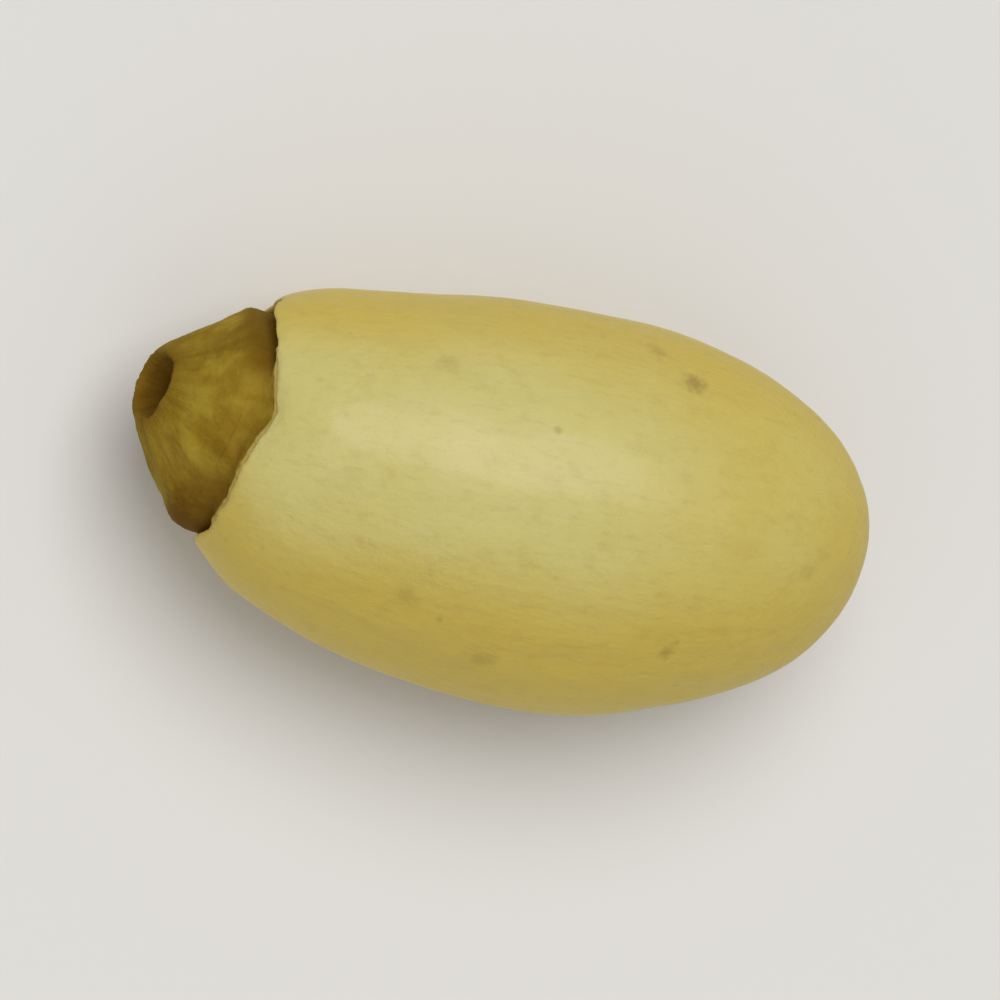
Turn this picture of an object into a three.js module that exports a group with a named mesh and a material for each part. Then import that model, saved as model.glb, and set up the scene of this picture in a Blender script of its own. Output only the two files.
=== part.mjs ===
// A shelled pine nut: one plump cream kernel lying on its side, with the brown boss at its tip.
//
// Millimetres, +Z up. The long axis runs along X, with the tip at -X and the fat end at +X.
// The kernel is one closed body: a lathed meridian gives the flesh, the lip round the tip, the groove
// inside the lip and the boss with its end pit, and formulas then turn that round form into a grown one.
// It rests on the small flat spot under its weight, and the origin is on the surface below its middle.

import * as THREE from 'three';

// Driving dimensions, in the kernel's own frame, where the axis is straight and X = 0 is near its middle.
const FAT_END_X = 6.23;
const TIP_END_X = -6.02;
const WIDEST_X = 0.67;
const WIDEST_RADIUS = 3.27;
const HEIGHT_TO_WIDTH = 0.94;

// How the flesh narrows: a blunt round fat end, between an ellipse's 1 and a squarer 0, and a slower taper
// that leaves a wide lip at the tip.
const FAT_END_ROUNDNESS = 0.72;
const TAPER_AT_LIP = 0.298;

// The lip: its crest, how far back its outer corner is rounded, and one deeper notch on top.
const LIP_X = -4.46;
const LIP_RADIUS = 2.03;
const LIP_CORNER_RADIUS = 2.14;
const LIP_ROUNDING = 1;
const LIP_NOTCH_DEPTH = 0.2;
const LIP_NOTCH_ANGLE = 1.45;
const LIP_NOTCH_SHARPNESS = 60;

// The groove inside the lip.
const GROOVE_DEPTH = 0.42;
const GROOVE_OUTER_RADIUS = 1.98;
const GROOVE_INNER_RADIUS = 1.68;

// The boss: a shoulder just outside the lip, a straight flank, and an end face that leans and turns aside.
const BOSS_SHOULDER_RADIUS = 1.78;
const BOSS_SHOULDER_X = -4.84;
const BOSS_FOOT_RADIUS = 1.45;
const BOSS_FOOT_X = -5.15;
const BOSS_END_RADIUS = 0.59;
const BOSS_LEAN = -0.07;
const END_RIM_ROUNDING = 0.06;
const END_TILT = 0.285;
const END_SLANT = -0.09;
const PIT_RADIUS = 0.53;
const PIT_DEPTH = 0.42;

// How the axis bends away from the X axis, towards +Y at both ends.
const BEND_RISE = 0.46;
const BEND_HALF_SPAN = 4.58;

// The kernel lies with its slimmer tip a little lower, on a flat spot this much deep in its lowest side.
const LYING_PITCH = THREE.MathUtils.degToRad(-2);
const FLAT_SPOT_DEPTH = 0.07;

// Waves round the section: lobes to a turn, drift along the axis in radians a millimetre, and phase.
// The first makes the section softly three-sided, with its flattest side below, and the second oval.
const SECTION_WAVES = [
  { height: 0.022, lobes: 3, drift: 0, phase: 3.77 },
  { height: 0.008, lobes: 2, drift: 0, phase: 2.07 },
  { height: 0.008, lobes: 2, drift: 0.9, phase: 0.4 },
  { height: 0.006, lobes: -3, drift: 1.7, phase: 2.1 },
];

// The lip's plane is oblique and warped, together with the groove and the boss's shoulder that follow it,
// and its crest alone is ragged. Each reach is how far from the crest its waves fade away.
const LIP_WARP_REACH = 0.8;
const LIP_WARP_WAVES = [
  { height: 0.146, lobes: 1, drift: 0, phase: 4.3 },
  { height: 0.021, lobes: 2, drift: 0, phase: 2.95 },
  { height: 0.07, lobes: 3, drift: 0, phase: 3.13 },
];
const LIP_EDGE_REACH = 0.3;
const LIP_EDGE_WAVES = [
  { height: 0.039, lobes: 5, drift: 0, phase: 2 },
  { height: 0.022, lobes: 7, drift: 0, phase: 1.9 },
  { height: 0.018, lobes: 12, drift: 0, phase: 0 },
];
const BOSS_WAVES = [
  { height: 0.025, lobes: 9, drift: 0, phase: 0.8 },
  { height: 0.02, lobes: 5, drift: 0, phase: 2.2 },
];

// Mesh steps.
const SIDES = 64;
const FAT_END_STEPS = 20;
const TAPER_STEPS = 14;
const LIP_STEPS = 7;
const GROOVE_STEPS = 6;
const BOSS_STEPS = 9;
const PIT_STEPS = 5;

// A point of the meridian: its radius, and its place along the axis.
function point(radius, x) {
  return new THREE.Vector2(radius, x);
}

// Radius of the flesh at a place along the axis, before it is made uneven. The taper starts with the same
// curvature as the fat end, so that the two meet without a visible line.
function fleshRadius(x) {
  if (x > WIDEST_X) {
    const reach = (x - WIDEST_X) / (FAT_END_X - WIDEST_X);
    const closing = FAT_END_ROUNDNESS * reach ** 2 + (1 - FAT_END_ROUNDNESS) * reach ** 4;
    return WIDEST_RADIUS * Math.sqrt(Math.max(0, 1 - closing));
  }
  const reach = (WIDEST_X - x) / (WIDEST_X - LIP_X);
  const lengthRatio = (WIDEST_X - LIP_X) / (FAT_END_X - WIDEST_X);
  const evenCurve = FAT_END_ROUNDNESS / 2 * lengthRatio ** 2;
  return WIDEST_RADIUS * (1 - evenCurve * reach ** 2 - (TAPER_AT_LIP - evenCurve) * reach ** 3);
}

// Points of the flesh from the tip's lip to the fat end, closer together where the fat end closes.
function fleshPoints() {
  const points = [];
  const taperStart = LIP_X + LIP_ROUNDING;
  for (let step = 0; step < TAPER_STEPS; step += 1) {
    const x = THREE.MathUtils.lerp(taperStart, WIDEST_X, step / TAPER_STEPS);
    points.push(point(fleshRadius(x), x));
  }
  for (let step = 0; step < FAT_END_STEPS; step += 1) {
    const quarterTurn = (step / FAT_END_STEPS) * Math.PI / 2;
    const x = THREE.MathUtils.lerp(WIDEST_X, FAT_END_X, Math.sin(quarterTurn));
    points.push(point(fleshRadius(x), x));
  }
  points.push(point(0, FAT_END_X));
  return points;
}

// Points from the bottom of the end pit, over the boss and through the groove, up to the crest of the lip.
function tipPoints() {
  const pitBottom = point(0, TIP_END_X + PIT_DEPTH);
  const pitRim = point(PIT_RADIUS, TIP_END_X + END_RIM_ROUNDING);
  const bossShoulder = point(BOSS_SHOULDER_RADIUS, BOSS_SHOULDER_X);
  const lipCrest = point(LIP_RADIUS, LIP_X);
  const fleshStartX = LIP_X + LIP_ROUNDING;
  const fleshLeadX = LIP_X + LIP_ROUNDING * 2 / 3;
  const pit = new THREE.QuadraticBezierCurve(
    pitBottom,
    point(PIT_RADIUS, TIP_END_X + PIT_DEPTH),
    pitRim,
  );
  const boss = new THREE.CubicBezierCurve(
    pitRim,
    point(BOSS_END_RADIUS, TIP_END_X - END_RIM_ROUNDING),
    point(BOSS_FOOT_RADIUS, BOSS_FOOT_X),
    bossShoulder,
  );
  const groove = new THREE.CubicBezierCurve(
    bossShoulder,
    point(GROOVE_INNER_RADIUS, LIP_X + GROOVE_DEPTH),
    point(GROOVE_OUTER_RADIUS, LIP_X + GROOVE_DEPTH),
    lipCrest,
  );
  const lip = new THREE.CubicBezierCurve(
    lipCrest,
    point(LIP_CORNER_RADIUS, LIP_X),
    point(fleshRadius(fleshLeadX), fleshLeadX),
    point(fleshRadius(fleshStartX), fleshStartX),
  );
  return [
    ...pit.getPoints(PIT_STEPS).slice(0, -1),
    ...boss.getPoints(BOSS_STEPS).slice(0, -1),
    ...groove.getPoints(GROOVE_STEPS).slice(0, -1),
    ...lip.getPoints(LIP_STEPS).slice(0, -1),
  ];
}

// Sum of a list of waves at a place along the axis and an angle round it.
function waveSum(waves, x, angle) {
  return waves.reduce((sum, wave) => (
    sum + wave.height * Math.sin(wave.lobes * angle + wave.drift * x + wave.phase)
  ), 0);
}

// How far the lip's warp and its ragged, notched edge shift a place along the axis.
function lipShift(x, radius, angle) {
  const distance = Math.hypot(x - LIP_X, radius - LIP_RADIUS);
  const notch = LIP_NOTCH_DEPTH * Math.exp(LIP_NOTCH_SHARPNESS * (Math.cos(angle - LIP_NOTCH_ANGLE) - 1));
  const warp = waveSum(LIP_WARP_WAVES, x, angle) * Math.exp(-((distance / LIP_WARP_REACH) ** 2));
  const edge = (waveSum(LIP_EDGE_WAVES, x, angle) + notch) * Math.exp(-((distance / LIP_EDGE_REACH) ** 2));
  return warp + edge;
}

// Moves one point of the straight, round form to its place in the grown kernel. bossReach goes from 0 at
// the boss's shoulder to 1 at its end: the low lengthwise wrinkles are strongest between the two.
function growPoint(x, y, z) {
  const radius = Math.hypot(y, z);
  const angle = Math.atan2(z, y);
  const bossReach = THREE.MathUtils.clamp((BOSS_SHOULDER_X - x) / (BOSS_SHOULDER_X - TIP_END_X), 0, 1);
  const wrinkles = waveSum(BOSS_WAVES, x, angle) * Math.sin(Math.PI * bossReach);
  const scale = 1 + waveSum(SECTION_WAVES, x, angle) + wrinkles;
  const along = x + lipShift(x, radius, angle) + (END_TILT * z + END_SLANT * y) * bossReach ** 2;
  const across = y * scale;
  const up = z * scale * HEIGHT_TO_WIDTH;
  const turn = Math.atan(2 * BEND_RISE * along / BEND_HALF_SPAN ** 2);
  const axisRise = BEND_RISE * (along / BEND_HALF_SPAN) ** 2 + BOSS_LEAN * bossReach ** 2;
  return new THREE.Vector3(along - across * Math.sin(turn), axisRise + across * Math.cos(turn), up);
}

// Presses the lowest side flat and puts the origin on that plane, under the middle of the kernel.
function layDown(geometry) {
  const position = geometry.attributes.position;
  geometry.computeBoundingBox();
  const floor = geometry.boundingBox.min.z + FLAT_SPOT_DEPTH;
  const centre = geometry.boundingBox.getCenter(new THREE.Vector3());
  for (let i = 0; i < position.count; i += 1) {
    const z = Math.max(position.getZ(i), floor) - floor;
    position.setXYZ(i, position.getX(i) - centre.x, position.getY(i) - centre.y, z);
  }
}

function kernelGeometry() {
  const geometry = new THREE.LatheGeometry([...tipPoints(), ...fleshPoints()], SIDES);
  geometry.rotateZ(-Math.PI / 2);
  const position = geometry.attributes.position;
  for (let i = 0; i < position.count; i += 1) {
    const grown = growPoint(position.getX(i), position.getY(i), position.getZ(i));
    position.setXYZ(i, grown.x, grown.y, grown.z);
  }
  geometry.rotateY(LYING_PITCH);
  layDown(geometry);
  geometry.computeVertexNormals();
  return geometry;
}

const cream = new THREE.MeshStandardMaterial({ color: 0xd2c27a, roughness: 0.5, metalness: 0 });
const kernel = new THREE.Mesh(kernelGeometry(), cream);
kernel.name = 'kernel';

const pineNut = new THREE.Group();
pineNut.name = 'pine_nut';
pineNut.add(kernel);

export default pineNut;
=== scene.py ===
"""A shelled pine nut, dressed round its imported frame: fine relief, finish, floor, light and camera.

Sizes are in millimetres inside the classes and in the shapes' node trees. Objects are in metres, in the
frame's axes: the nut lies along X with its brown tip at -X, and rests on the floor at Z = 0.
"""

import logging
import math
from dataclasses import dataclass, field
from enum import Enum, IntEnum
from functools import reduce
from typing import Any, Callable, Iterable, Sequence, Union

import bpy
from mathutils import Matrix, Vector


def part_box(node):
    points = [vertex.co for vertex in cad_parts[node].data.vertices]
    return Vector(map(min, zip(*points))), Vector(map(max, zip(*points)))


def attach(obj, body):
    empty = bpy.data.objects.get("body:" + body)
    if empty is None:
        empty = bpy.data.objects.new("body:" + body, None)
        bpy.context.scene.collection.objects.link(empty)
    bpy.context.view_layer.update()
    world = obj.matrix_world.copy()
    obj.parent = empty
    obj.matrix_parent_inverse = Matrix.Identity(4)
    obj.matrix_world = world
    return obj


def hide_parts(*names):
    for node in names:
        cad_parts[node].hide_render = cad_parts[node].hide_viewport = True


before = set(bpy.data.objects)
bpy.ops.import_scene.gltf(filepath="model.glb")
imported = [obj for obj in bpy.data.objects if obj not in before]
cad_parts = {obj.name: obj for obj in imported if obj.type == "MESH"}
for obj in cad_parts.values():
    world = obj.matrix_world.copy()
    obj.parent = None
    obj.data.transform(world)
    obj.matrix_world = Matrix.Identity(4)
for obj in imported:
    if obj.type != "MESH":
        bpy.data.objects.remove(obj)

LOG = logging.getLogger("pine_nut")
METRES_PER_MM = 0.001
MM_PER_METRE = 1000.0
ZONE_ATTRIBUTE = "zone"
FIBRE_ATTRIBUTE = "fibre"
GAP_ATTRIBUTE = "gap"
NOISE_MIDDLE = 0.5

Colour = tuple[float, float, float, float]
Number = Union[float, "Value"]
Link = Union["Value", bpy.types.NodeSocket]


def srgb(red: int, green: int, blue: int) -> Colour:
    """Turns a colour as a picture holds it into the linear light that a shader takes.

    Args:
        red: Red, from 0 to 255.
        green: Green, from 0 to 255.
        blue: Blue, from 0 to 255.

    Returns:
        The linear colour, opaque.
    """
    def linear(channel: int) -> float:
        """Undoes the picture's gamma on one channel."""
        share = channel / 255
        return share / 12.92 if share <= 0.04045 else ((share + 0.055) / 1.055) ** 2.4

    return linear(red), linear(green), linear(blue), 1.0


@dataclass(frozen=True)
class Pattern:
    """A noise: features to a millimetre, octaves and how rough they are.

    An x_share below 1 draws the features out along X.
    """

    scale: float
    detail: float = 2.0
    roughness: float = 0.5
    x_share: float = 1.0


@dataclass(frozen=True)
class Ramp:
    """A smooth change, from 0 at its start to its amount at its end. The end may lie below the start."""

    start: float
    end: float
    amount: float = 1.0


class Value:
    """A socket that carries a number. Its operators add the Math nodes that an expression needs."""

    def __init__(self, graph: "Graph", socket: bpy.types.NodeSocket) -> None:
        """Wraps a socket of a graph."""
        self.graph = graph
        self.socket = socket

    def __add__(self, other: Number) -> "Value":
        """Adds a number or a value."""
        return self.graph.math("ADD", self, other)

    def __radd__(self, other: Number) -> "Value":
        """Adds this value to a number."""
        return self.graph.math("ADD", other, self)

    def __sub__(self, other: Number) -> "Value":
        """Takes a number or a value away."""
        return self.graph.math("SUBTRACT", self, other)

    def __rsub__(self, other: Number) -> "Value":
        """Takes this value away from a number."""
        return self.graph.math("SUBTRACT", other, self)

    def __mul__(self, other: Number) -> "Value":
        """Multiplies by a number or a value."""
        return self.graph.math("MULTIPLY", self, other)

    def __rmul__(self, other: Number) -> "Value":
        """Multiplies a number by this value."""
        return self.graph.math("MULTIPLY", other, self)

    def __truediv__(self, other: Number) -> "Value":
        """Divides by a number or a value."""
        return self.graph.math("DIVIDE", self, other)

    def __pow__(self, other: Number) -> "Value":
        """Raises to a power."""
        return self.graph.math("POWER", self, other)


class Graph:
    """A node tree under construction, for a shape or for a finish."""

    def __init__(self, tree: bpy.types.NodeTree) -> None:
        """Starts an empty tree."""
        self.tree = tree
        tree.nodes.clear()

    def add(
        self,
        kind: str,
        settings: dict[str, Any] | None = None,
        inputs: dict[str | int, Any] | None = None,
    ) -> bpy.types.Node:
        """Adds one node of any type.

        Args:
            kind: The node's type name.
            settings: Its properties, set first.
            inputs: A value or a link for each socket, by name or by number.

        Returns:
            The node.
        """
        node = self.tree.nodes.new(kind)
        for name, setting in (settings or {}).items():
            setattr(node, name, setting)
        for name, given in (inputs or {}).items():
            self._feed(self._find(node.inputs, name), given)
        return node

    def value(self, node: bpy.types.Node, output: str | int = 0) -> Value:
        """Gives a node's output as a value."""
        return Value(self, self._find(node.outputs, output))

    def math(self, operation: str, *operands: Number) -> Value:
        """Adds a Math node.

        Args:
            operation: The node's operation.
            operands: One to three numbers or values.

        Returns:
            The result.
        """
        node = self.add("ShaderNodeMath", {"operation": operation}, dict(enumerate(operands)))
        return self.value(node)

    def vector_math(self, operation: str, inputs: dict[str | int, Any], output: str = "Vector") -> Value:
        """Adds a Vector Math node.

        Args:
            operation: The node's operation.
            inputs: A value or a link for each socket, by name or by number.
            output: The socket with the result.

        Returns:
            The result.
        """
        return self.value(self.add("ShaderNodeVectorMath", {"operation": operation}, inputs), output)

    def scaled(self, vector: Link, factor: Number) -> Value:
        """Scales a vector by a number."""
        return self.vector_math("SCALE", {"Vector": vector, "Scale": factor})

    def split(self, vector: Link) -> tuple[Value, Value, Value]:
        """Takes a vector apart into its three numbers."""
        node = self.add("ShaderNodeSeparateXYZ", inputs={0: vector})
        return self.value(node, 0), self.value(node, 1), self.value(node, 2)

    def joined(self, x: Number, y: Number, z: Number) -> Value:
        """Makes a vector of three numbers."""
        return self.value(self.add("ShaderNodeCombineXYZ", inputs={0: x, 1: y, 2: z}))

    def smooth(self, value: Number, start: Number, end: Number, amount: Number = 1.0) -> Value:
        """Changes smoothly from 0 to an amount.

        Args:
            value: The value that it follows.
            start: Where the value gives 0.
            end: Where the value gives the amount. It may lie below the start.
            amount: The amount.

        Returns:
            The changing amount.
        """
        node = self.add(
            "ShaderNodeMapRange",
            {"interpolation_type": "SMOOTHSTEP"},
            {"Value": value, "From Min": start, "From Max": end, "To Max": amount},
        )
        return self.value(node)

    def ramp(self, value: Number, ramp: Ramp) -> Value:
        """Gives as much of a ramp's amount as a value has come along it."""
        return self.smooth(value, ramp.start, ramp.end, ramp.amount)

    def clamped(self, value: Number) -> Value:
        """Keeps a value between 0 and 1."""
        return self.value(self.add("ShaderNodeClamp", inputs={0: value}))

    def bell(self, value: Value, middle: float, width: Number) -> Value:
        """Gives 1 at the middle, and falls off smoothly on both sides of it."""
        return self.math("EXPONENT", ((value - middle) / width) ** 2 * -1.0)

    def noise(self, place: Link, pattern: Pattern) -> Value:
        """Adds a Noise Texture.

        Args:
            place: Where it is read.
            pattern: What it is like.

        Returns:
            The noise, from 0 to 1 and mostly near a half.
        """
        if pattern.x_share != 1.0:
            x, y, z = self.split(place)
            place = self.joined(x * pattern.x_share, y, z)
        node = self.add("ShaderNodeTexNoise", inputs={
            "Vector": place,
            "Scale": pattern.scale,
            "Detail": pattern.detail,
            "Roughness": pattern.roughness,
        })
        return self.value(node, 0)

    def wobble(self, place: Link, pattern: Pattern) -> Value:
        """Gives a noise that goes up to a half either way from 0."""
        return self.noise(place, pattern) - NOISE_MIDDLE

    def layered(self, base: Colour | Value, *layers: tuple[Number, Colour]) -> Value:
        """Lays colours over a base, one after another.

        Args:
            base: The first colour.
            layers: How much of each further colour shows, and the colour.

        Returns:
            The colour that results.
        """
        for share, colour in layers:
            inputs = {"Factor": share, "A": base, "B": colour}
            base = self.value(self.add("ShaderNodeMix", {"data_type": "RGBA"}, inputs), "Result")
        return base

    @staticmethod
    def _find(sockets: Iterable[bpy.types.NodeSocket], name: str | int) -> bpy.types.NodeSocket:
        """Finds a socket.

        Args:
            sockets: A node's inputs or outputs.
            name: The socket's number, or its name.

        Returns:
            The socket: of several with the name, the one in use.
        """
        if isinstance(name, int):
            return list(sockets)[name]
        return next(socket for socket in sockets if socket.name == name and socket.enabled)

    def _feed(self, socket: bpy.types.NodeSocket, given: Any) -> None:
        """Links a socket, or sets its value.

        Args:
            socket: The socket.
            given: A link, or a plain value.
        """
        if isinstance(given, Value):
            self.tree.links.new(given.socket, socket)
        elif isinstance(given, bpy.types.NodeSocket):
            self.tree.links.new(given, socket)
        else:
            socket.default_value = given


class Socket(Enum):
    """The kinds of named input that a shape's tree has."""

    NUMBER = "NodeSocketFloat"
    COUNT = "NodeSocketInt"
    MATERIAL = "NodeSocketMaterial"
    GEOMETRY = "NodeSocketGeometry"


class Shape(Graph):
    """A Geometry Nodes tree with named inputs, and the modifier that runs it on an object."""

    def __init__(self, name: str) -> None:
        """Starts a tree that takes and gives geometry.

        Args:
            name: Its name.
        """
        super().__init__(bpy.data.node_groups.new(name, "GeometryNodeTree"))
        interface = self.tree.interface
        interface.new_socket("Geometry", in_out="INPUT", socket_type=Socket.GEOMETRY.value)
        interface.new_socket("Geometry", in_out="OUTPUT", socket_type=Socket.GEOMETRY.value)
        self.given: dict[str, Any] = {}
        self.entry = self.tree.nodes.new("NodeGroupInput")

    def input(self, name: str, given: Any, kind: Socket = Socket.NUMBER) -> Value:
        """Adds a named input.

        Args:
            name: Its name in the tree.
            given: What the modifier sets it to.
            kind: What it carries.

        Returns:
            The input's value inside the tree.
        """
        self.tree.interface.new_socket(name, in_out="INPUT", socket_type=kind.value)
        self.given[name] = given
        return self.value(self.entry, name)

    def position(self) -> Value:
        """Gives each point's position."""
        return self.value(self.add("GeometryNodeInputPosition"))

    def attribute(self, name: str) -> Value:
        """Reads a named attribute that holds a number."""
        node = self.add("GeometryNodeInputNamedAttribute", {"data_type": "FLOAT"}, {"Name": name})
        return self.value(node)

    def stored(self, geometry: Link, name: str, number: Value) -> Value:
        """Stores a number on each point under a name."""
        return self.value(self.add(
            "GeometryNodeStoreNamedAttribute",
            {"data_type": "FLOAT", "domain": "POINT"},
            {"Geometry": geometry, "Name": name, "Value": number},
        ))

    def moved(self, geometry: Link, vector: Link, socket: str = "Position") -> Value:
        """Moves each point to a position, or by an offset where the socket is Offset."""
        inputs = {"Geometry": geometry, socket: vector}
        return self.value(self.add("GeometryNodeSetPosition", inputs=inputs))

    def close(self, geometry: Link, material: bpy.types.Material) -> None:
        """Ends the tree with plain, smooth-shaded geometry in one material.

        Args:
            geometry: What the tree has made.
            material: The material.
        """
        paint = self.input("Material", material, Socket.MATERIAL)
        real = self.add("GeometryNodeRealizeInstances", inputs={"Geometry": geometry})
        soft = self.add("GeometryNodeSetShadeSmooth", inputs={"Geometry": self.value(real)})
        inputs = {"Geometry": self.value(soft), "Material": paint}
        dressed = self.add("GeometryNodeSetMaterial", inputs=inputs)
        self.add("NodeGroupOutput", inputs={"Geometry": self.value(dressed)})

    def run(self, piece: bpy.types.Object) -> None:
        """Runs the tree on an object, and leaves its result there as a plain mesh.

        Args:
            piece: The object whose mesh the tree takes in.
        """
        modifier = piece.modifiers.new(self.tree.name, "NODES")
        modifier.node_group = self.tree
        for item in self.tree.interface.items_tree:
            if item.in_out == "INPUT" and item.name in self.given:
                modifier[item.identifier] = self.given[item.name]
        bpy.context.view_layer.update()
        depsgraph = bpy.context.evaluated_depsgraph_get()
        evaluated = piece.evaluated_get(depsgraph)
        mesh = bpy.data.meshes.new_from_object(evaluated, preserve_all_data_layers=True, depsgraph=depsgraph)
        piece.modifiers.clear()
        before = piece.data
        piece.data = mesh
        mesh.name = piece.name
        bpy.data.meshes.remove(before)


class Zone(IntEnum):
    """Where a stretch of the meridian starts, as the zone attribute counts from the tip to the fat end."""

    PIT = 0
    BOSS = 1
    GROOVE = 2
    LIP = 3
    TAPER = 4
    FAT_END = 5
    END = 6


@dataclass(frozen=True)
class Wave:
    """One wave round the section: height, lobes to a turn, drift in radians a millimetre, and phase."""

    height: float
    lobes: int
    drift: float
    phase: float


@dataclass
class Spot:
    """A point of the nut, as a tree's formulas read it: its place in millimetres, and its zone."""

    graph: Graph
    place: Value
    zone: Value

    def __post_init__(self) -> None:
        """Takes the place apart."""
        self.x, self.y, self.z = self.graph.split(self.place)


@dataclass(frozen=True)
class Mark:
    """A soft brown mark: its middle and its reach in millimetres, and how plain it is."""

    place: tuple[float, float, float]
    reach: float
    strength: float


@dataclass(frozen=True)
class Finish:
    """The nut's surface: oily cream flesh with painted light and shade, and the dry brown boss with its dark
    groove and pit, partly painted shade.

    Places and depths are in millimetres. A ramp along the meridian is given in zones.
    """

    # Painted sheen: the pale colour stands for the satin highlight on the top.
    pale: Colour = srgb(203, 193, 122)
    cream: Colour = srgb(200, 181, 88)
    # Painted shade: the golden colour stands for the shade on the sides.
    shaded_gold: Colour = srgb(198, 174, 72)
    # Painted light: a lighter cream for the lower half, lifting its shade.
    underside_lift: Colour = srgb(211, 187, 114)
    straw: Colour = srgb(164, 136, 56)
    speck: Colour = srgb(116, 78, 18)
    boss_tan: Colour = srgb(170, 145, 50)
    boss_olive: Colour = srgb(142, 114, 30)
    boss_brown: Colour = srgb(112, 82, 18)
    # The dark colour is partly the groove's brown skin and partly painted shadow and shade in the groove and
    # the pit.
    dark: Colour = srgb(94, 64, 12)
    hollow: Colour = srgb(58, 38, 8)

    # Painted light and shade on the flesh: as the height rises, with the lifts and drops below, the flesh
    # turns from shaded golden to cream. It is lifted near the lip and on the far side, where light falls,
    # and dropped at the fat end and on the near side, which are painted as shaded.
    painted_light_height: Ramp = Ramp(3.6, 5.9)
    cream_cloud: Pattern = Pattern(0.5, 3.0, 0.55)
    cream_unevenness: float = 0.9
    light_at_lip: Ramp = Ramp(-1.5, -4.5, 0.7)
    light_at_lip_side: Ramp = Ramp(3.0, 1.2)
    shade_at_fat_end: Ramp = Ramp(0.0, 6.0, 0.35)
    shade_on_near_side: float = 0.5
    far_side_y: float = 1.5
    far_side_width: float = 0.75
    light_on_far_side: float = 0.4
    # Painted light: below this height the flesh turns back to a lighter cream, lifting the shade under the
    # nut.
    underside_lift_height: Ramp = Ramp(3.7, 1.7, 0.9)
    # Painted sheen: how much of the pale colour lies on the top, and how much of it fades towards the fat
    # end.
    sheen_share: float = 0.9
    sheen_lost_at_fat_end: Ramp = Ramp(-0.5, 3.5, 0.6)
    fibres: Pattern = Pattern(2.2, 4.0, 0.6, 0.2)
    fibre_tint: Ramp = Ramp(0.5, 0.8, 0.12)
    mottle: Pattern = Pattern(2.6, 4.0, 0.6)
    mottle_tint: Ramp = Ramp(0.5, 0.76, 0.16)
    streaks: Pattern = Pattern(9.0, 3.0, 0.6, 0.3)
    streak_tint: Ramp = Ramp(0.5, 0.75, 0.14)
    torn_edge: Ramp = Ramp(Zone.LIP + 0.22, Zone.LIP + 0.02, 0.55)
    torn_edge_unevenness: float = 0.3
    speck_cells: float = 1.1
    speck_choice: Ramp = Ramp(0.86, 0.92, 0.4)
    speck_reach: float = 0.07
    speck_growth: float = 0.05
    speck_core: float = 0.01
    speck_unevenness: float = 0.12
    mark_edge: Pattern = Pattern(5.0, 4.0, 0.65)
    mark_unevenness: float = 1.8
    mark_reach: Ramp = Ramp(1.1, 0.0)
    flesh_marks: tuple[Mark, ...] = (
        Mark((2.33, 2.49, 4.82), 0.3, 0.5),
        Mark((1.78, 2.9, 4.2), 0.26, 0.3),
        Mark((2.71, -1.89, 5.12), 0.2, 0.35),
        Mark((-0.21, -2.59, 4.62), 0.34, 0.25),
        Mark((-1.9, 2.05, 5.15), 0.28, 0.2),
        Mark((2.2, 0.92, 5.8), 0.16, 0.2),
        Mark((-1.75, -1.8, 5.0), 0.3, 0.2),
        Mark((4.75, -0.16, 5.15), 0.22, 0.2),
    )

    boss_edge: Ramp = Ramp(Zone.LIP, Zone.LIP - 0.15)
    blotches: Pattern = Pattern(1.3, 4.0, 0.55)
    tan_blotches: Ramp = Ramp(0.35, 0.65)
    furrow_shade: Ramp = Ramp(0.52, 0.34, 0.4)
    near_side_shade: Ramp = Ramp(0.3, -0.9, 0.35)
    shoulder: Ramp = Ramp(Zone.BOSS + 0.75, Zone.GROOVE)
    shoulder_shade: float = 0.25
    shoulder_middle_y: float = 0.35
    shoulder_side_shade: Ramp = Ramp(0.5, 1.25, 0.6)
    # Painted shadows: dark marks where the groove lies deepest in shade, below the boss and above it.
    groove_shadow_marks: tuple[Mark, ...] = (
        Mark((-5.15, -1.25, 3.1), 0.75, 0.75),
        Mark((-4.75, 1.9, 3.7), 0.7, 0.3),
    )
    groove: Ramp = Ramp(Zone.GROOVE + 0.05, Zone.GROOVE + 0.5)
    groove_shade: float = 0.25
    gap_shade: float = 0.45
    end_edge: Pattern = Pattern(4.0, 3.0, 0.6)
    end_unevenness: float = 0.5
    end_shade: Ramp = Ramp(Zone.BOSS + 0.85, Zone.BOSS, 0.7)
    pit: Ramp = Ramp(Zone.BOSS + 0.25, Zone.BOSS - 0.3)
    pit_shade: float = 0.6
    pit_wall_shade: Ramp = Ramp(Zone.PIT + 0.95, Zone.PIT + 0.45, 0.2)
    pit_furrow_shade: Ramp = Ramp(0.62, 0.4, 0.25)
    hollow_shade: Ramp = Ramp(Zone.PIT + 0.6, Zone.PIT + 0.1, 0.65)

    ior: float = 1.45
    wear: Pattern = Pattern(1.1, 4.0)
    wear_strength: float = 0.3
    flesh_roughness: float = 0.5
    flesh_specular_level: float = 0.05
    coat_weight: float = 0.32
    coat_ior: float = 1.9
    coat_roughness: float = 0.37
    scatter_weight: float = 0.35
    scatter_radius: tuple[float, float, float] = (1.0, 0.62, 0.22)
    scatter_depth: float = 0.55
    boss_roughness: float = 0.65
    boss_specular_level: float = 0.04
    skin_depth: float = 0.022
    skin_bumps: Pattern = Pattern(2.4, 3.0)
    pores: Pattern = Pattern(9.0, 4.0, 0.6)
    creases: Pattern = Pattern(5.5, 4.0, 0.6, 0.25)
    crease_strength: float = 1.3
    speck_dip: float = 1.2
    papery_depth: float = 0.045
    wrinkles: Pattern = Pattern(6.5, 5.0, 0.62, 0.3)
    papery_grain: Pattern = Pattern(14.0, 3.0, 0.6)
    papery_grain_strength: float = 0.4

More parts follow.
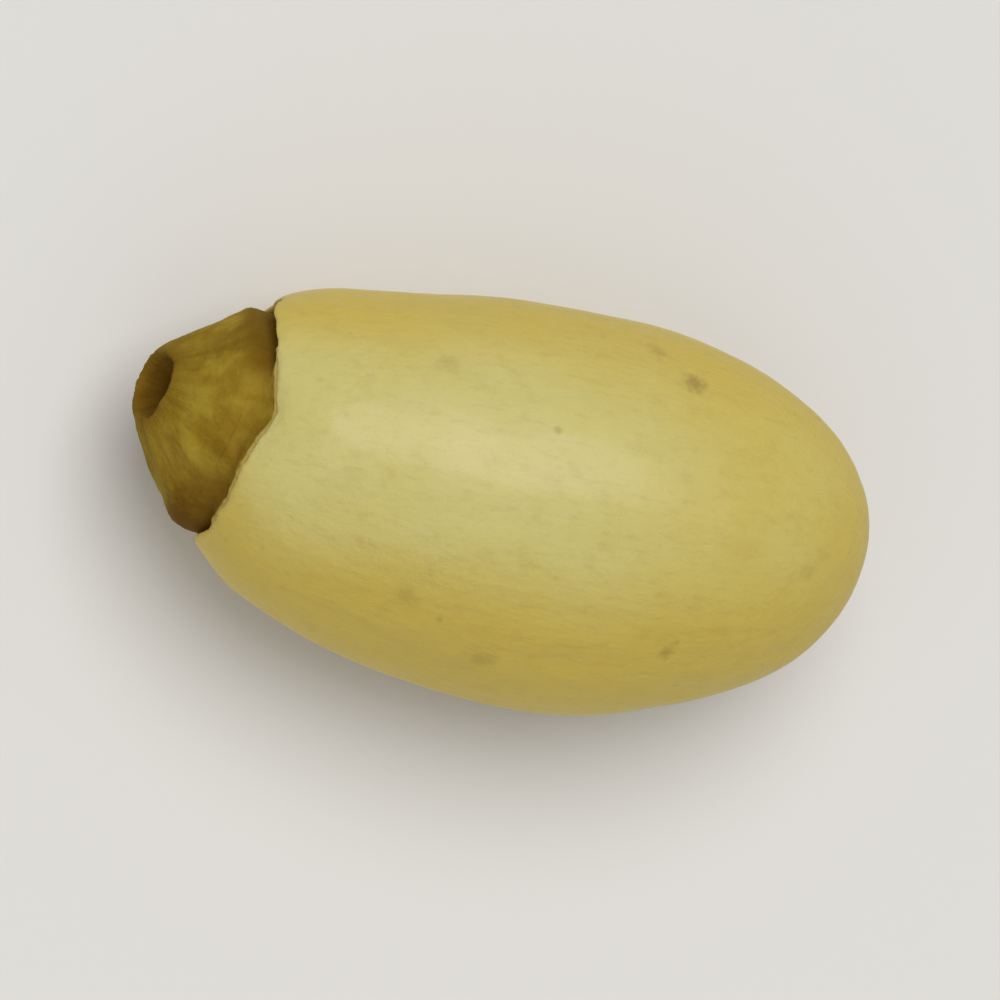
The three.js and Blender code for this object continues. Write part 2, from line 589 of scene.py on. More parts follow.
    def material(self) -> bpy.types.Material:
        """Builds the material.

        Returns:
            The material, which reads Object coordinates and the attributes of the kernel's shape.
        """
        material = bpy.data.materials.new("pine_nut_flesh")
        material.use_nodes = True
        graph = Graph(material.node_tree)
        place = graph.scaled(graph.value(graph.add("ShaderNodeTexCoord"), "Object"), MM_PER_METRE)
        spot = Spot(graph, place, self._attribute(graph, ZONE_ATTRIBUTE))
        wear = graph.wobble(place, self.wear) * self.wear_strength
        shader = graph.add("ShaderNodeMixShader", inputs={
            0: graph.ramp(spot.zone, self.boss_edge),
            1: self._flesh(spot, wear),
            2: self._boss(spot, wear),
        })
        graph.add("ShaderNodeOutputMaterial", inputs={"Surface": graph.value(shader)})
        return material

    def _flesh(self, spot: Spot, wear: Value) -> Value:
        """Makes the oily, slightly translucent flesh, with pores, lengthwise creases and sunken specks.

        Args:
            spot: A point of the nut.
            wear: What is added to the roughness.

        Returns:
            The shader.
        """
        graph = spot.graph
        colour, specks = self._flesh_colour(spot)
        pores = graph.noise(spot.place, self.pores)
        creases = graph.noise(spot.place, self.creases) * self.crease_strength
        bumps = graph.noise(spot.place, self.skin_bumps)
        skin = pores + creases + bumps - specks * self.speck_dip
        return graph.value(graph.add("ShaderNodeBsdfPrincipled", {"subsurface_method": "RANDOM_WALK"}, {
            "Base Color": colour,
            "Roughness": wear + self.flesh_roughness,
            "Normal": self._relief(graph, skin, self.skin_depth),
            "IOR": self.ior,
            "Specular IOR Level": self.flesh_specular_level,
            "Subsurface Weight": self.scatter_weight,
            "Subsurface Radius": self.scatter_radius,
            "Subsurface Scale": self.scatter_depth * METRES_PER_MM,
            "Coat Weight": self.coat_weight,
            "Coat IOR": self.coat_ior,
            "Coat Roughness": self.coat_roughness,
        }))

    def _boss(self, spot: Spot, wear: Value) -> Value:
        """Makes the dry, papery boss.

        Args:
            spot: A point of the nut.
            wear: What is added to the roughness.

        Returns:
            The shader.
        """
        graph = spot.graph
        grain = graph.noise(spot.place, self.papery_grain) * self.papery_grain_strength
        skin = graph.noise(spot.place, self.wrinkles) + grain
        return graph.value(graph.add("ShaderNodeBsdfPrincipled", inputs={
            "Base Color": self._boss_colour(spot),
            "Roughness": wear + self.boss_roughness,
            "Normal": self._relief(graph, skin, self.papery_depth),
            "IOR": self.ior,
            "Specular IOR Level": self.boss_specular_level,
        }))

    @staticmethod
    def _attribute(graph: Graph, name: str) -> Value:
        """Reads one of the shape's attributes."""
        settings = {"attribute_type": "GEOMETRY", "attribute_name": name}
        return graph.value(graph.add("ShaderNodeAttribute", settings), "Fac")

    @staticmethod
    def _relief(graph: Graph, height: Value, depth: float) -> Value:
        """Turns a height, from 0 to 1 over a depth in millimetres, into a bumped normal."""
        inputs = {"Strength": 1.0, "Distance": depth * METRES_PER_MM, "Height": height}
        return graph.value(graph.add("ShaderNodeBump", inputs=inputs))

    def _flesh_colour(self, spot: Spot) -> tuple[Value, Value]:
        """Colours the flesh with painted light and shade: a painted sheen palest on top, painted shade
        golden on the sides, and painted light creamier below.

        Faint fibres, mottles and streaks, the torn edge of the lip, specks and marks lie over that.

        Args:
            spot: A point of the nut.

        Returns:
            The colour, and how much of a speck or a mark each place has.
        """
        graph, place = spot.graph, spot.place
        cloud = graph.wobble(place, self.cream_cloud) * self.cream_unevenness
        # Painted light and shade: the height measure is lifted near the lip and on the far side, and dropped
        # at the fat end and on the near side.
        at_lip = graph.ramp(spot.x, self.light_at_lip) * graph.ramp(spot.y, self.light_at_lip_side)
        at_fat_end = graph.ramp(spot.x, self.shade_at_fat_end)
        near_side = graph.math("MINIMUM", spot.y, 0.0) * self.shade_on_near_side
        far_side = graph.bell(spot.y, self.far_side_y, self.far_side_width) * self.light_on_far_side
        level = spot.z + at_lip - at_fat_end + near_side + far_side + cloud
        cream = graph.ramp(level, self.painted_light_height)
        # Painted sheen on the top, fading towards the fat end.
        painted_sheen = self.sheen_share - graph.ramp(spot.x, self.sheen_lost_at_fat_end) + cloud
        mottle = graph.noise(place, self.mottle)
        fibre_tint = graph.ramp(graph.noise(place, self.fibres), self.fibre_tint)
        streak_tint = graph.ramp(graph.noise(place, self.streaks), self.streak_tint)
        torn_zone = spot.zone + (mottle - NOISE_MIDDLE) * self.torn_edge_unevenness
        torn = graph.ramp(torn_zone, self.torn_edge)
        tint = fibre_tint + graph.ramp(mottle, self.mottle_tint) + streak_tint + torn
        specks = graph.math("MAXIMUM", self._specks(spot, mottle), self._blots(spot, self.flesh_marks))
        colour = graph.layered(
            # Painted shade: a shaded golden base, with painted-light cream over it where the flesh lies
            # high.
            self.shaded_gold,
            (cream, self.cream),
            # Painted light lifting the shade on the lower half.
            (graph.ramp(spot.z + cloud, self.underside_lift_height), self.underside_lift),
            # Painted sheen.
            (cream ** 2 * graph.clamped(painted_sheen), self.pale),
            (tint, self.straw),
            (specks, self.speck),
        )
        return colour, specks

    def _specks(self, spot: Spot, mottle: Value) -> Value:
        """Scatters fine specks: one in each of a few cells, larger where the cell's own number is higher.

        Args:
            spot: A point of the nut.
            mottle: The noise that makes their edges uneven.

        Returns:
            How much of a speck each place has.
        """
        graph = spot.graph
        inputs = {"Vector": spot.place, "Scale": self.speck_cells}
        cells = graph.add("ShaderNodeTexVoronoi", {"feature": "F1"}, inputs)
        inputs = {"Vector": graph.value(cells, "Position")}
        number = graph.value(graph.add("ShaderNodeTexWhiteNoise", inputs=inputs), "Value")
        distance = graph.value(cells, "Distance") + (mottle - NOISE_MIDDLE) * self.speck_unevenness
        reach = self.speck_reach + number * self.speck_growth
        return graph.smooth(distance, reach, self.speck_core) * graph.ramp(number, self.speck_choice)

    def _blots(self, spot: Spot, marks: Sequence[Mark]) -> Value:
        """Spreads marks out with soft, ragged edges.

        Args:
            spot: A point of the nut.
            marks: The marks.

        Returns:
            How much of a mark each place has.
        """
        graph = spot.graph
        ragged = graph.wobble(spot.place, self.mark_edge) * self.mark_unevenness
        blots = []
        for mark in marks:
            distance = graph.vector_math("DISTANCE", {0: spot.place, 1: mark.place}, "Value")
            blots.append(graph.ramp(distance / mark.reach + ragged, self.mark_reach) * mark.strength)
        return reduce(lambda first, second: graph.math("MAXIMUM", first, second), blots)

    def _boss_colour(self, spot: Spot) -> Value:
        """Colours the boss: tan fibres between darker edges of painted shade, the groove round it with its
        painted shadows and shade, and the pit in its end in painted shade.

        Args:
            spot: A point of the nut.

        Returns:
            The colour.
        """
        graph, zone = spot.graph, spot.zone
        fibres = self._attribute(graph, FIBRE_ATTRIBUTE)
        gap = self._attribute(graph, GAP_ATTRIBUTE)
        ragged = zone + graph.wobble(spot.place, self.end_edge) * self.end_unevenness
        aside = graph.math("ABSOLUTE", spot.y - self.shoulder_middle_y)
        shoulder_shade = graph.ramp(aside, self.shoulder_side_shade) + self.shoulder_shade
        groove_shade = gap * self.gap_shade + self.groove_shade
        pit_shade = graph.ramp(zone, self.pit_wall_shade) + self.pit_shade
        furrows = graph.ramp(fibres, self.pit_furrow_shade) + 1.0
        return graph.layered(
            self.boss_olive,
            (graph.ramp(graph.noise(spot.place, self.blotches), self.tan_blotches), self.boss_tan),
            (graph.ramp(fibres, self.furrow_shade), self.boss_brown),
            (graph.ramp(spot.y, self.near_side_shade), self.boss_brown),
            (graph.ramp(zone, self.shoulder) * shoulder_shade, self.boss_brown),
            # Painted shadows in the groove.
            (self._blots(spot, self.groove_shadow_marks), self.dark),
            # The groove's dark skin, with painted shade added where it lies open.
            (graph.ramp(zone, self.groove) * groove_shade, self.dark),
            (graph.ramp(ragged, self.end_shade), self.boss_brown),
            (graph.ramp(ragged, self.pit) * pit_shade * furrows, self.dark),
            (graph.ramp(zone, self.hollow_shade), self.hollow),
        )


@dataclass
class Kernel:
    """The whole nut, one grown body: flesh, lip, groove, boss and end pit.

    Sizes are in millimetres and angles in radians. A ramp or a reach along the meridian is given in zones.
    """

    finish: Finish
    name: str = "pine_kernel"
    fat_end_x: float = 6.23
    tip_end_x: float = -6.02
    widest_x: float = 0.67
    widest_radius: float = 3.27
    height_to_width: float = 0.94
    fat_end_roundness: float = 0.72
    taper_at_lip: float = 0.298
    lip_x: float = -4.46
    lip_radius: float = 2.03
    lip_corner_radius: float = 2.14
    lip_rounding: float = 1.0
    notch_depth: float = 0.2
    notch_angle: float = 1.45
    notch_sharpness: float = 60.0
    groove_depth: float = 0.42
    groove_outer_radius: float = 1.98
    groove_inner_radius: float = 1.68
    shoulder_radius: float = 1.78
    shoulder_x: float = -4.84
    foot_radius: float = 1.45
    foot_x: float = -5.15
    end_radius: float = 0.59
    boss_lean: float = -0.07
    end_rim_rounding: float = 0.06
    end_tilt: float = 0.285
    end_slant: float = -0.09
    pit_radius: float = 0.53
    pit_depth: float = 0.42
    bend_rise: float = 0.46
    bend_half_span: float = 4.58
    lying_pitch: float = math.radians(-2)
    flat_spot_depth: float = 0.07
    section_waves: tuple[Wave, ...] = (
        Wave(0.022, 3, 0, 3.77),
        Wave(0.008, 2, 0, 2.07),
        Wave(0.008, 2, 0.9, 0.4),
        Wave(0.006, -3, 1.7, 2.1),
    )
    lip_warp_reach: float = 0.8
    lip_warp_waves: tuple[Wave, ...] = (
        Wave(0.146, 1, 0, 4.3),
        Wave(0.021, 2, 0, 2.95),
        Wave(0.07, 3, 0, 3.13),
    )
    lip_edge_reach: float = 0.3
    lip_edge_waves: tuple[Wave, ...] = (
        Wave(0.039, 5, 0, 2),
        Wave(0.022, 7, 0, 1.9),
        Wave(0.018, 12, 0, 0),
    )
    boss_waves: tuple[Wave, ...] = (
        Wave(0.025, 9, 0, 0.8),
        Wave(0.02, 5, 0, 2.2),
    )

    flesh_reach: Ramp = Ramp(Zone.LIP + 0.3, Zone.TAPER + 0.1)
    swells: Pattern = Pattern(0.42, 1.0)
    swell_height: float = 0.08
    ridges: Pattern = Pattern(1.5, 3.0, 0.55, 0.14)
    ridge_height: float = 0.06
    dent_cells: float = 0.62
    dent_reach: float = 0.08
    dent_growth: float = 0.3
    dent_depth: float = 0.03
    chips: Pattern = Pattern(3.2, 4.0, 0.7)
    chip_height: float = 0.16
    chip_reach: float = 0.3
    axis_clearance: float = 0.25
    fibres: Pattern = Pattern(1.5, 4.0, 0.6)
    fibres_round: float = 3.2
    fibres_along: float = 0.55
    fibre_height: float = 0.11
    fibre_reach: Ramp = Ramp(Zone.GROOVE + 0.35, Zone.GROOVE - 0.05)
    fibres_past_rim: Ramp = Ramp(Zone.BOSS - 0.1, Zone.BOSS + 0.45, 0.75)
    fibres_in_pit: float = 0.25
    crumbs: Pattern = Pattern(4.2, 3.0, 0.6)
    crumb_height: float = 0.03
    crumb_reach: Ramp = Ramp(Zone.LIP + 0.1, Zone.GROOVE + 0.6)
    rim: Pattern = Pattern(0.85, 0.6, 0.5)
    rim_along: float = 0.3
    rim_unevenness: float = 0.26
    rim_reach: float = 0.4
    rim_from_axis: Ramp = Ramp(0.0, 0.3)
    rim_lean: float = 0.4
    groove_fill: float = 0.36
    filled_from: float = 0.95
    filled_to: float = 2.75
    filled_fade: float = 0.25
    filled_edge: Pattern = Pattern(1.2, 1.5)
    filled_unevenness: float = 0.8
    shoulder_bulge: float = 0.2
    bulge_sharpness: float = 7.0
    bulge_middle: float = Zone.GROOVE + 0.1
    bulge_reach: float = 0.4

    steps: dict[Zone, int] = field(default_factory=lambda: {
        Zone.PIT: 14, Zone.BOSS: 52, Zone.GROOVE: 24, Zone.LIP: 30, Zone.TAPER: 88, Zone.FAT_END: 104,
    })
    corner_smoothing: dict[Zone, int] = field(default_factory=lambda: {
        Zone.BOSS: 12, Zone.GROOVE: 8, Zone.LIP: 3,
    })
    sides: int = 300
    merge_distance: float = 1e-5

    def build(self) -> bpy.types.Object:
        """Builds the nut and puts it in the place of its solid.

        Returns:
            The finished piece.
        """
        piece = self._meridian_object()
        self._tree().run(piece)
        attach(piece, "root")
        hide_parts("kernel")
        return piece

    def flesh_radius(self, x: float) -> float:
        """Radius of the flesh before it is made uneven.

        Args:
            x: Place along the axis.

        Returns:
            The radius. The taper starts with the same curvature as the fat end.
        """
        if x > self.widest_x:
            reach = (x - self.widest_x) / (self.fat_end_x - self.widest_x)
            closing = self.fat_end_roundness * reach ** 2 + (1 - self.fat_end_roundness) * reach ** 4
            return self.widest_radius * math.sqrt(max(0.0, 1 - closing))
        reach = (self.widest_x - x) / (self.widest_x - self.lip_x)
        length_ratio = (self.widest_x - self.lip_x) / (self.fat_end_x - self.widest_x)
        even_curve = self.fat_end_roundness / 2 * length_ratio ** 2
        narrowing = even_curve * reach ** 2 + (self.taper_at_lip - even_curve) * reach ** 3
        return self.widest_radius * (1 - narrowing)

    def _stretches(self) -> dict[Zone, Callable[[float], Vector]]:
        """Draws the meridian.

        Returns:
            Its stretches: for each, a function from a share of it to a point, whose place along the axis
            comes first and whose radius comes second.
        """
        pit_bottom_x = self.tip_end_x + self.pit_depth
        pit_rim = (self.tip_end_x + self.end_rim_rounding, self.pit_radius)
        shoulder = (self.shoulder_x, self.shoulder_radius)
        groove_bottom_x = self.lip_x + self.groove_depth
        crest = (self.lip_x, self.lip_radius)
        taper_x = self.lip_x + self.lip_rounding
        lead_x = self.lip_x + self.lip_rounding * 2 / 3

        def flesh(x: float) -> Vector:
            """The flesh's point at a place along the axis."""
            return Vector((x, self.flesh_radius(x)))

        return {
            Zone.PIT: bezier((pit_bottom_x, 0), (pit_bottom_x, self.pit_radius), pit_rim),
            Zone.BOSS: bezier(
                pit_rim,
                (self.tip_end_x - self.end_rim_rounding, self.end_radius),
                (self.foot_x, self.foot_radius),
                shoulder,
            ),
            Zone.GROOVE: bezier(
                shoulder,
                (groove_bottom_x, self.groove_inner_radius),
                (groove_bottom_x, self.groove_outer_radius),
                crest,
            ),
            Zone.LIP: bezier(
                crest,
                (self.lip_x, self.lip_corner_radius),
                tuple(flesh(lead_x)),
                tuple(flesh(taper_x)),
            ),
            Zone.TAPER: lambda share: flesh(taper_x + (self.widest_x - taper_x) * share),
            Zone.FAT_END: lambda share: flesh(
                self.widest_x + (self.fat_end_x - self.widest_x) * math.sin(share * math.pi / 2)
            ),
        }

    def _meridian_object(self) -> bpy.types.Object:
        """Makes the meridian, a line of points from the pit to the fat end, with its corners eased.

        Returns:
            The object, whose mesh holds the zone of each point.
        """
        points: list[tuple[float, float, float]] = []
        zones: list[float] = []
        for zone, stretch in self._stretches().items():
            count = self.steps[zone]
            for step in range(count):
                x, radius = stretch(step / count)
                points.append((x, radius, 0.0))
                zones.append(zone + step / count)
        points.append((self.fat_end_x, 0.0, 0.0))
        zones.append(float(Zone.END))
        for zone, passes in self.corner_smoothing.items():
            corner = zones.index(float(zone))
            for _ in range(passes):
                before = list(points)
                for i in range(corner - passes, corner + passes + 1):
                    points[i] = tuple((Vector(before[i - 1]) + Vector(before[i + 1])) / 2)
        mesh = bpy.data.meshes.new(self.name)
        mesh.from_pydata(points, [(i, i + 1) for i in range(len(points) - 1)], [])
        mesh.attributes.new(ZONE_ATTRIBUTE, "FLOAT", "POINT").data.foreach_set("value", zones)
        piece = bpy.data.objects.new(self.name, mesh)
        bpy.context.scene.collection.objects.link(piece)
        return piece

    def _tree(self) -> Shape:
        """Builds the tree that turns the meridian, roughens and grows the round form, and lays it down.

        Returns:
            The tree.
        """
        shape = Shape("pine_kernel_shape")
        turned = self._turned(shape)
        rough = self._roughened(shape, turned)
        grown = self._grown(shape, rough)
        laid = self._laid_down(shape, grown)
        shape.close(laid, self.finish.material())
        return shape

    def _turned(self, shape: Shape) -> Value:
        """Turns the meridian into a closed round form that faces outwards.

        Args:
            shape: The kernel's tree.

        Returns:
            The form, with the zone stored on its points.
        """
        sides = shape.input("Sides", self.sides, Socket.COUNT)
        merge_distance = shape.input("Merge Distance", self.merge_distance)
        meridian = shape.value(shape.entry, "Geometry")
        size = shape.add("GeometryNodeAttributeDomainSize", {"component": "MESH"}, {0: meridian})
        rings = shape.value(size, "Point Count")
        grid = shape.value(shape.add("GeometryNodeMeshGrid", inputs={
            "Size X": 1.0,
            "Size Y": 1.0,
            "Vertices X": rings,
            "Vertices Y": sides + 1,
        }), "Mesh")
        # The grid is 1 by 1 about its middle, so a half added to its coordinates makes them shares.
        column, row, _ = shape.split(shape.position())
        ring = shape.math("ROUND", (column + 0.5) * (rings - 1))
        angle = (row + 0.5) * math.tau

        def read(kind: str, source: Value) -> Value:
            """Reads the meridian at this point's ring."""
            return shape.value(shape.add(
                "GeometryNodeSampleIndex",
                {"data_type": kind, "domain": "POINT"},
                {"Geometry": meridian, "Value": source, "Index": ring},
            ))

        x, radius, _ = shape.split(read("FLOAT_VECTOR", shape.position()))
        zone = read("FLOAT", shape.attribute(ZONE_ATTRIBUTE))
        marked = shape.stored(grid, ZONE_ATTRIBUTE, zone)
        across = radius * shape.math("COSINE", angle)
        up = radius * shape.math("SINE", angle)
        round_form = shape.moved(marked, shape.joined(x, across, up))
        inputs = {"Geometry": round_form, "Distance": merge_distance}
        merged = shape.value(shape.add("GeometryNodeMergeByDistance", inputs=inputs))
        return shape.value(shape.add("GeometryNodeFlipFaces", inputs={"Mesh": merged}))

    def _roughened(self, shape: Shape, turned: Value) -> Value:
        """Gives the round form its low relief.

        Args:
            shape: The kernel's tree.
            turned: The round form.

        Returns:
            The form with its relief, and with the fibres and the groove's open gap stored on its points.
        """
        spot = Spot(shape, shape.position(), shape.attribute(ZONE_ATTRIBUTE))
        radius = (spot.y ** 2 + spot.z ** 2) ** 0.5
        narrow = shape.math("MAXIMUM", radius, self.axis_clearance)
        side, up = spot.y / narrow, spot.z / narrow
        fibres = shape.noise(
            shape.joined(side * self.fibres_round, up * self.fibres_round, spot.x * self.fibres_along),
            self.fibres,
        )
        filled = self._filled(shape, spot)
        # A bow over the groove, 0 at both of its edges and 1 in its middle.
        in_groove = shape.clamped(spot.zone - Zone.GROOVE)
        groove_bow = in_groove * (1.0 - in_groove) * 4.0
        fill = groove_bow * filled * shape.input("Groove Fill", self.groove_fill)
        chips = shape.wobble(spot.place, self.chips) * shape.input("Chip Height", self.chip_height)
        chips = chips * shape.bell(spot.zone, Zone.LIP, self.chip_reach)
        rim = shape.wobble(shape.joined(side, up, spot.x * self.rim_along), self.rim)
        rim = rim * shape.input("Rim Unevenness", self.rim_unevenness)
        rim = rim * shape.bell(spot.zone, Zone.BOSS, self.rim_reach) * shape.ramp(radius, self.rim_from_axis)
        near_side = shape.math("EXPONENT", (side + 1.0) * -self.bulge_sharpness)
        bulge = near_side * shape.bell(spot.zone, self.bulge_middle, self.bulge_reach)
        outward = rim + bulge * shape.input("Shoulder Bulge", self.shoulder_bulge)
        height = self._flesh_relief(shape, spot) + self._boss_relief(shape, spot, fibres)
        offset = shape.vector_math("ADD", {
            0: shape.scaled(shape.value(shape.add("GeometryNodeInputNormal")), height),
            1: shape.joined(chips - fill + rim * self.rim_lean, outward * side, outward * up),
        })
        marked = shape.stored(shape.stored(turned, FIBRE_ATTRIBUTE, fibres), GAP_ATTRIBUTE, 1.0 - filled)
        return shape.moved(marked, offset, "Offset")

    def _flesh_relief(self, shape: Shape, spot: Spot) -> Value:
        """Gives the flesh low swells, lengthwise ridges and shallow dents.

        Args:
            shape: The kernel's tree.
            spot: A point of the round form.

        Returns:
            Its height over the flesh.
        """
        swells = NOISE_MIDDLE - shape.noise(spot.place, self.swells)
        swells = swells * shape.input("Swell Height", self.swell_height)
        ridges = NOISE_MIDDLE - shape.noise(spot.place, self.ridges)
        ridges = ridges * shape.input("Ridge Height", self.ridge_height)
        inputs = {"Vector": spot.place, "Scale": self.dent_cells}
        cells = shape.add("ShaderNodeTexVoronoi", {"feature": "F1"}, inputs)
        number, _, _ = shape.split(shape.value(cells, "Color"))
        reach = number * self.dent_growth + self.dent_reach
        dents = shape.smooth(shape.value(cells, "Distance"), reach, 0.0)
        dents = dents * shape.input("Dent Depth", self.dent_depth)
        return (swells + ridges - dents) * shape.ramp(spot.zone, self.flesh_reach)

    def _boss_relief(self, shape: Shape, spot: Spot, fibres: Value) -> Value:
        """Gives the boss its lengthwise fibres, and the boss and the groove their crumbs.

        Args:
            shape: The kernel's tree.
            spot: A point of the round form.
            fibres: The fibres' noise.

        Returns:
            Its height over the boss.
        """
        past_rim = shape.ramp(spot.zone, self.fibres_past_rim) + self.fibres_in_pit
        on_boss = shape.ramp(spot.zone, self.fibre_reach) * past_rim
        crumbs = shape.wobble(spot.place, self.crumbs) * shape.input("Crumb Height", self.crumb_height)
        furrows = (fibres - NOISE_MIDDLE) * shape.input("Fibre Height", self.fibre_height)
        return furrows * on_boss + crumbs * shape.ramp(spot.zone, self.crumb_reach)

    def _filled(self, shape: Shape, spot: Spot) -> Value:
        """Finds where papery tissue fills the groove.

        Args:
            shape: The kernel's tree.
            spot: A point of the round form.

        Returns:
            How full the groove is: 1 between two ragged angles round the axis, and 0 beyond them.
        """
        start = shape.input("Filled From", self.filled_from)
        end = shape.input("Filled To", self.filled_to)
        angle = shape.math("ARCTAN2", spot.z, spot.y)
        angle = angle + shape.wobble(spot.place, self.filled_edge) * self.filled_unevenness
        fade = self.filled_fade
        return shape.smooth(angle, start - fade, start + fade) * shape.smooth(angle, end + fade, end - fade)

    def _grown(self, shape: Shape, rough: Value) -> Value:
        """Gives the round form its uneven section, its warped lip, its leaning boss and its bend.

        Args:
            shape: The kernel's tree.
            rough: The round form with its relief.

        Returns:
            The grown form.
        """
        shoulder_x = shape.input("Boss Shoulder X", self.shoulder_x)
        tip_end_x = shape.input("Tip End X", self.tip_end_x)
        bend_rise = shape.input("Bend Rise", self.bend_rise)
        half_span = shape.input("Bend Half Span", self.bend_half_span)
        x, y, z = shape.split(shape.position())
        angle = shape.math("ARCTAN2", z, y)
        boss_reach = shape.clamped((shoulder_x - x) / (shoulder_x - tip_end_x))
        wrinkles = self._waves(shape, self.boss_waves, x, angle) * shape.math("SINE", boss_reach * math.pi)
        scale = self._waves(shape, self.section_waves, x, angle) + wrinkles + 1.0
        tilt = shape.input("End Tilt", self.end_tilt) * z + shape.input("End Slant", self.end_slant) * y
        radius = (y ** 2 + z ** 2) ** 0.5
        along = x + self._lip_shift(shape, x, radius, angle) + tilt * boss_reach ** 2
        across = y * scale
        turn = shape.math("ARCTANGENT", bend_rise * along * 2.0 / half_span ** 2)
        lean = shape.input("Boss Lean", self.boss_lean) * boss_reach ** 2
        return shape.moved(rough, shape.joined(
            along - across * shape.math("SINE", turn),
            bend_rise * (along / half_span) ** 2 + lean + across * shape.math("COSINE", turn),
            z * scale * shape.input("Height To Width", self.height_to_width),
        ))

    def _lip_shift(self, shape: Shape, x: Value, radius: Value, angle: Value) -> Value:
        """Warps the lip and makes its edge ragged and notched.

        Args:
            shape: The kernel's tree.
            x: Place along the axis.
            radius: Distance from the axis.
            angle: Angle round the axis.

        Returns:
            How far each place shifts along the axis.
        """
        lip_x = shape.input("Lip X", self.lip_x)
        lip_radius = shape.input("Lip Radius", self.lip_radius)
        distance = ((x - lip_x) ** 2 + (radius - lip_radius) ** 2) ** 0.5
        from_notch = shape.math("COSINE", angle - shape.input("Notch Angle", self.notch_angle)) - 1.0
        notch = shape.math("EXPONENT", from_notch * self.notch_sharpness)
        notch = notch * shape.input("Notch Depth", self.notch_depth)
        warp = self._waves(shape, self.lip_warp_waves, x, angle)
        edge = self._waves(shape, self.lip_edge_waves, x, angle) + notch
        warp = warp * shape.bell(distance, 0.0, shape.input("Lip Warp Reach", self.lip_warp_reach))
        return warp + edge * shape.bell(distance, 0.0, shape.input("Lip Edge Reach", self.lip_edge_reach))

    @staticmethod
    def _waves(shape: Shape, waves: Sequence[Wave], x: Value, angle: Value) -> Value:
        """Adds up a list of waves.

        Args:
            shape: The kernel's tree.
            waves: The waves.
            x: Place along the axis.
            angle: Angle round the axis.

        Returns:
            Their sum at each place.
        """
        parts = [
            shape.math("SINE", angle * wave.lobes + x * wave.drift + wave.phase) * wave.height
            for wave in waves
        ]
        return sum(parts[1:], parts[0])

    def _laid_down(self, shape: Shape, grown: Value) -> Value:
        """Tips the form, presses its lowest side flat, and puts it in place in metres.

        Args:
            shape: The kernel's tree.
            grown: The grown form.

        Returns:
            The form as it lies.
        """
        pitch = shape.input("Lying Pitch", self.lying_pitch)
        flat_spot_depth = shape.input("Flat Spot Depth", self.flat_spot_depth)
        x, y, z = shape.split(shape.position())
        sine, cosine = shape.math("SINE", pitch), shape.math("COSINE", pitch)
        tipped = shape.moved(grown, shape.joined(x * cosine + z * sine, y, z * cosine - x * sine))
        box = shape.add("GeometryNodeBoundBox", inputs={"Geometry": tipped})
        low_x, low_y, low_z = shape.split(shape.value(box, "Min"))
        high_x, high_y, _ = shape.split(shape.value(box, "Max"))
        floor = low_z + flat_spot_depth
        x, y, z = shape.split(shape.position())
        place = shape.joined(
            x - (low_x + high_x) * 0.5,
            y - (low_y + high_y) * 0.5,
            shape.math("MAXIMUM", z, floor) - floor,
        )
        return shape.moved(tipped, shape.scaled(place, METRES_PER_MM))


def bezier(*controls: tuple[float, float]) -> Callable[[float], Vector]:
    """Makes a Bezier curve.

    Args:
        controls: Its control points, three or four.

    Returns:
        A function from a share of the curve to its point.
    """
    def at(share: float) -> Vector:
        """Joins the control points pair by pair until one point is left.

        Args:
            share: The share of the curve.

        Returns:
            The point.
        """
        points = [Vector(control) for control in controls]
        while len(points) > 1:
            points = [a.lerp(b, share) for a, b in zip(points, points[1:])]
        return points[0]

    return at


@dataclass(frozen=True)
class Sun:
    """A soft light that falls evenly on the nut and on the whole floor.

    Source is the direction that it comes from, spread its width as seen from the nut, in radians, and
    strength is in watts a square metre.
    """

    name: str
    source: tuple[float, float, float]
    spread: float
    strength: float


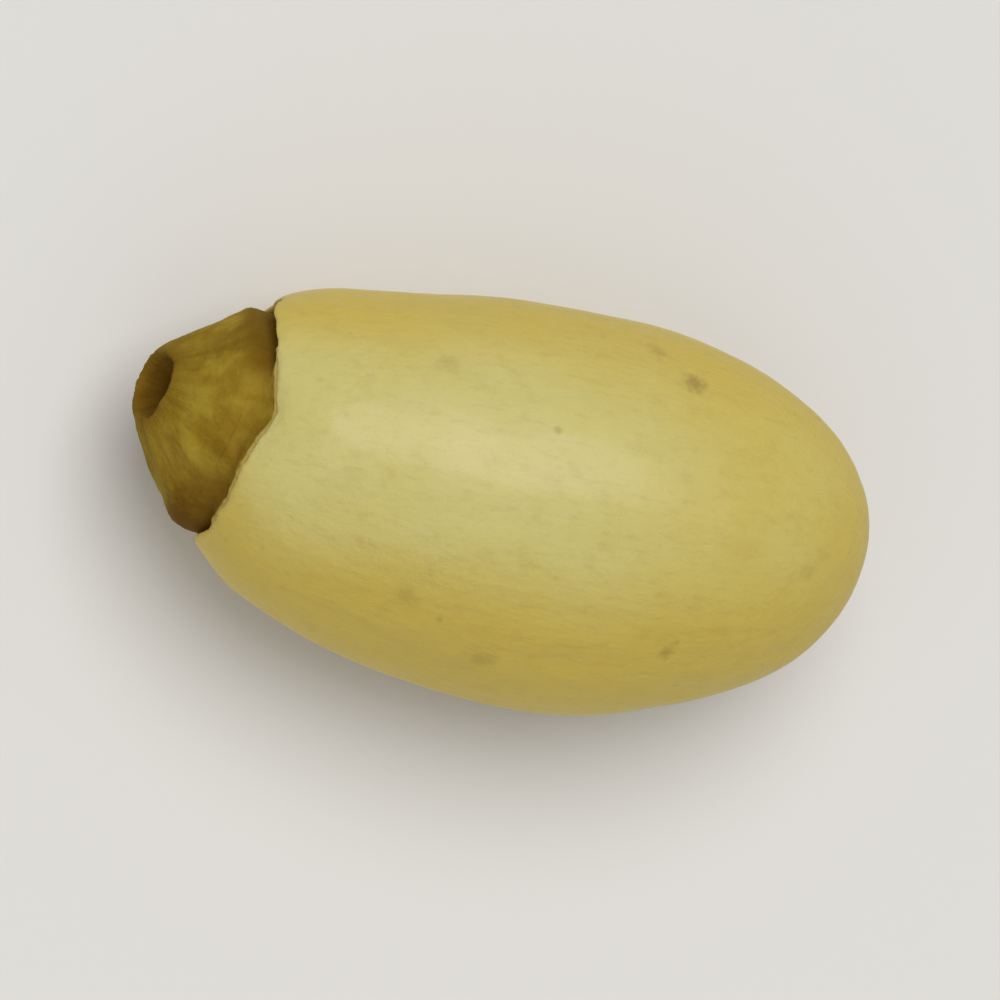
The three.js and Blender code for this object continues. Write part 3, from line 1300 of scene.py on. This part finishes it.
@dataclass
class Studio:
    """The pale floor, the soft lights and the camera at the photograph's angle. Sizes are in metres."""

    floor_size: float = 4.0
    floor_colour: Colour = srgb(222, 220, 216)
    floor_roughness: float = 0.7
    sky_colour: Colour = srgb(167, 167, 167)
    horizon_colour: Colour = srgb(221, 219, 214)
    sky_rise: Ramp = Ramp(0.04, 0.12)
    suns: tuple[Sun, ...] = (
        Sun("key_light", (-0.03, 0.38, 1.0), math.radians(42), 1.75),
        Sun("fill_light", (-0.4, -0.9, 0.9), math.radians(90), 0.4),
    )
    lens_mm: float = 500.0
    sensor_mm: float = 36.0
    camera_tilt: float = math.radians(15)
    camera_roll: float = math.radians(11.5)
    nut_share: float = 0.76
    near_clip_share: float = 0.01
    far_clip: float = 10.0

    def build(self) -> None:
        """Builds the floor, the lights and the camera, and sets how light becomes colour."""
        self._floor()
        self._world()
        for sun in self.suns:
            self._light(sun)
        self._camera()
        bpy.context.scene.view_settings.view_transform = "Standard"

    def _floor(self) -> None:
        """Makes the floor."""
        half = self.floor_size / 2
        corners = [(-half, -half, 0), (half, -half, 0), (half, half, 0), (-half, half, 0)]
        mesh = bpy.data.meshes.new("floor")
        mesh.from_pydata(corners, [], [(0, 1, 2, 3)])
        floor = bpy.data.objects.new("floor", mesh)
        bpy.context.scene.collection.objects.link(floor)
        material = bpy.data.materials.new("floor_paint")
        material.use_nodes = True
        shader = material.node_tree.nodes["Principled BSDF"]
        shader.inputs["Base Color"].default_value = self.floor_colour
        shader.inputs["Roughness"].default_value = self.floor_roughness
        mesh.materials.append(material)

    def _world(self) -> None:
        """Makes the plain pale surroundings, which meet the floor in its own colour."""
        world = bpy.data.worlds.new("studio")
        world.use_nodes = True
        graph = Graph(world.node_tree)
        _, _, rise = graph.split(graph.value(graph.add("ShaderNodeTexCoord"), "Generated"))
        colour = graph.layered(self.horizon_colour, (graph.ramp(rise, self.sky_rise), self.sky_colour))
        background = graph.add("ShaderNodeBackground", inputs={"Color": colour, "Strength": 1.0})
        graph.add("ShaderNodeOutputWorld", inputs={"Surface": graph.value(background)})
        bpy.context.scene.world = world

    @staticmethod
    def _light(sun: Sun) -> None:
        """Adds one light.

        Args:
            sun: What it is like.
        """
        data = bpy.data.lights.new(sun.name, "SUN")
        data.angle = sun.spread
        data.energy = sun.strength
        light = bpy.data.objects.new(sun.name, data)
        bpy.context.scene.collection.objects.link(light)
        light.rotation_euler = (-Vector(sun.source)).to_track_quat("-Z", "Y").to_euler()

    def _camera(self) -> None:
        """Aims the camera down at the nut, tilted towards its tip, at the photograph's turn."""
        low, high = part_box("kernel")
        centre = (low + high) / 2
        distance = (high.x - low.x) / self.nut_share * self.lens_mm / self.sensor_mm
        data = bpy.data.cameras.new("camera")
        data.lens = self.lens_mm
        data.sensor_width = self.sensor_mm
        data.clip_start = distance * self.near_clip_share
        data.clip_end = self.far_clip
        camera = bpy.data.objects.new("camera", data)
        bpy.context.scene.collection.objects.link(camera)
        tilt = Matrix.Rotation(-self.camera_tilt, 4, "Y")
        roll = Matrix.Rotation(self.camera_roll, 4, "Z")
        back = Matrix.Translation((0, 0, distance))
        camera.matrix_world = Matrix.Translation(centre) @ tilt @ roll @ back
        bpy.context.scene.camera = camera


def main() -> None:
    """Builds the nut and the studio."""
    logging.basicConfig(level=logging.INFO, format="%(name)s: %(message)s")
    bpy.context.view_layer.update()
    kernel = Kernel(Finish()).build()
    LOG.info("%s: %d faces", kernel.name, len(kernel.data.polygons))
    Studio().build()
    LOG.info("floor, lights and camera")


if __name__ == "__main__":
    main()
